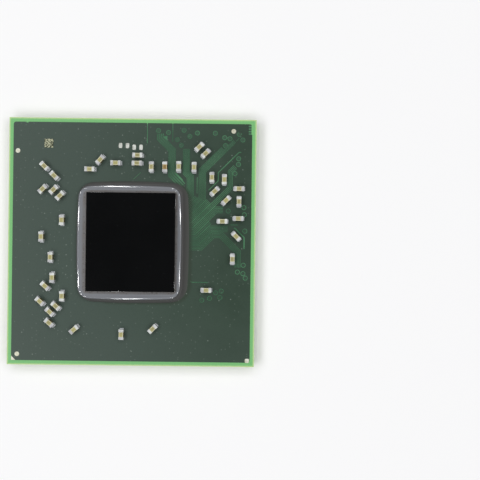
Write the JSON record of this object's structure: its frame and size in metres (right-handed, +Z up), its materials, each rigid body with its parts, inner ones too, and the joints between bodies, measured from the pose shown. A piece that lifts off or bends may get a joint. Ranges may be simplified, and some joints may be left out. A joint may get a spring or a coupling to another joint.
{
  "type": "ball grid array chip",
  "caption": "Square flip-chip ball grid array package: a bare black die in a resin bead on a green substrate, with small capacitors round it and solder balls below.",
  "frame": {"origin": "under the middle of the square package, on the plane of the balls' lowest points", "axes": "+Z up through the die, +X and +Y along the package's edges; the corner with the first contact's mark is at -X -Y"},
  "size_m": [0.025, 0.025, 0.0021],
  "materials": {
    "laminate": "green mask over bare laminate, satin, with a pale yellow-green sawn edge",
    "top_mask": "dark green solder mask over copper, satin with fine specks",
    "trace_mask": "green solder mask over fine copper traces, satin",
    "bottom_mask": "olive green solder mask over copper, satin",
    "silicon": "polished near-black silicon, mirror-like",
    "resin": "grey cured resin, glossy",
    "solder_ball": "bright tin alloy, satin",
    "solder": "bright tin alloy, glossy",
    "terminal": "tinned silver-white metal, satin",
    "ceramic": "tan fired ceramic, matte",
    "gold": "gold plate, glossy",
    "etched_mark": "tan etched pad with a fine square pattern, satin"
  },
  "bodies": {
    "root": {"laminate": "laminate", "top_copper": "top_mask", "signal_traces": "trace_mask", "bottom_copper": "bottom_mask", "silicon_die": "silicon", "underfill": "resin", "die_bumps": "solder", "capacitor_terminals": "terminal", "capacitor_solder": "solder", "spare_pads": "solder", "fiducial_pads": "gold", "corner_marks": "gold", "code_mark": "etched_mark", "solder_balls_corner": "solder_ball", "solder_balls_edge": "solder_ball", "solder_balls_line": "solder_ball", "solder_balls_band": "solder_ball", "solder_balls_block": "solder_ball", "solder_balls_core": "solder_ball", "capacitor_01": "ceramic", "capacitor_02": "ceramic", "capacitor_03": "ceramic", "capacitor_04": "ceramic", "capacitor_05": "ceramic", "capacitor_06": "ceramic", "capacitor_07": "ceramic", "capacitor_08": "ceramic", "capacitor_09": "ceramic", "capacitor_10": "ceramic", "capacitor_11": "ceramic", "capacitor_12": "ceramic", "capacitor_13": "ceramic", "capacitor_14": "ceramic", "capacitor_15": "ceramic", "capacitor_16": "ceramic", "capacitor_17": "ceramic", "capacitor_18": "ceramic", "capacitor_19": "ceramic", "capacitor_20": "ceramic", "capacitor_21": "ceramic", "capacitor_22": "ceramic", "capacitor_23": "ceramic", "capacitor_24": "ceramic", "capacitor_25": "ceramic", "capacitor_26": "ceramic", "capacitor_27": "ceramic", "capacitor_28": "ceramic", "capacitor_29": "ceramic", "capacitor_30": "ceramic", "capacitor_31": "ceramic", "capacitor_32": "ceramic", "capacitor_33": "ceramic", "capacitor_34": "ceramic", "capacitor_35": "ceramic", "capacitor_36": "ceramic", "capacitor_37": "ceramic", "capacitor_38": "ceramic", "capacitor_39": "ceramic", "capacitor_40": "ceramic"}
  },
  "joints": []
}
